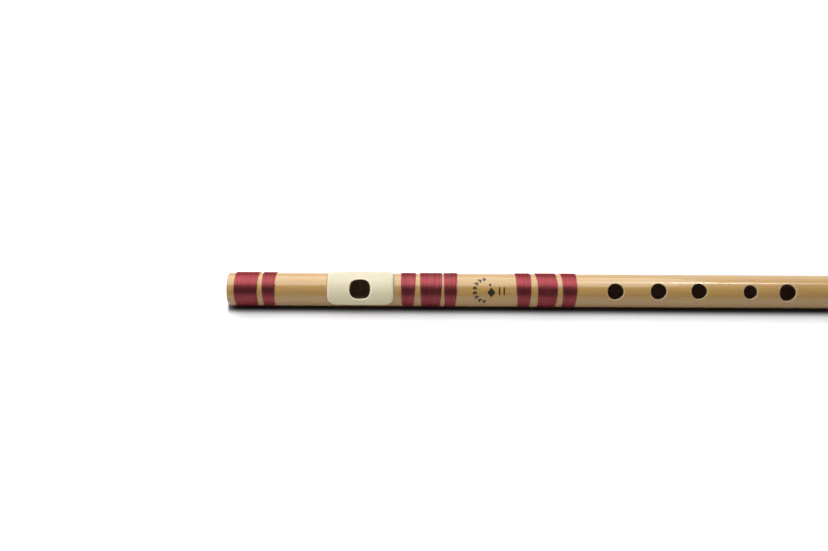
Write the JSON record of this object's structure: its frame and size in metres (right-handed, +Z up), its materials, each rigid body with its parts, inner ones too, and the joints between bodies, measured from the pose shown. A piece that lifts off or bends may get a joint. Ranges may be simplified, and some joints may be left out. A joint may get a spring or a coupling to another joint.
{
  "type": "bansuri",
  "caption": "Transverse flute with a round bore, a rounded-square embouchure in a glued lip plate, finger holes in a row, thread bindings and a sliding cork stopper.",
  "frame": {"origin": "centre of the flute's footprint, on the surface that its bindings lie on", "axes": "+X along the tube from the head end to the foot end, +Z up; the holes look halfway between +Z and -Y"},
  "size_m": [0.4064, 0.0206, 0.0204],
  "materials": {
    "tube": "tan, polished, with a soft gloss",
    "lip_plate": "ivory, polished",
    "cork": "natural cork, matte",
    "thread": "dark red silky thread, wound close"
  },
  "bodies": {
    "flute": {"flute_tube": "tube", "lip_plate": "lip_plate", "head_binding_wide": "thread", "head_binding_narrow": "thread", "lip_binding_near": "thread", "lip_binding_wide": "thread", "lip_binding_far": "thread", "hand_binding_near": "thread", "hand_binding_wide": "thread", "hand_binding_far": "thread", "foot_binding_narrow": "thread", "foot_binding_wide": "thread"},
    "stopper": {"cork_stopper": "cork"}
  },
  "joints": [
    {"name": "stopper_slide", "type": "slide", "parent": "flute", "child": "stopper", "axis": [1, 0, 0], "range_m": [-0.004, 0.004]}
  ]
}
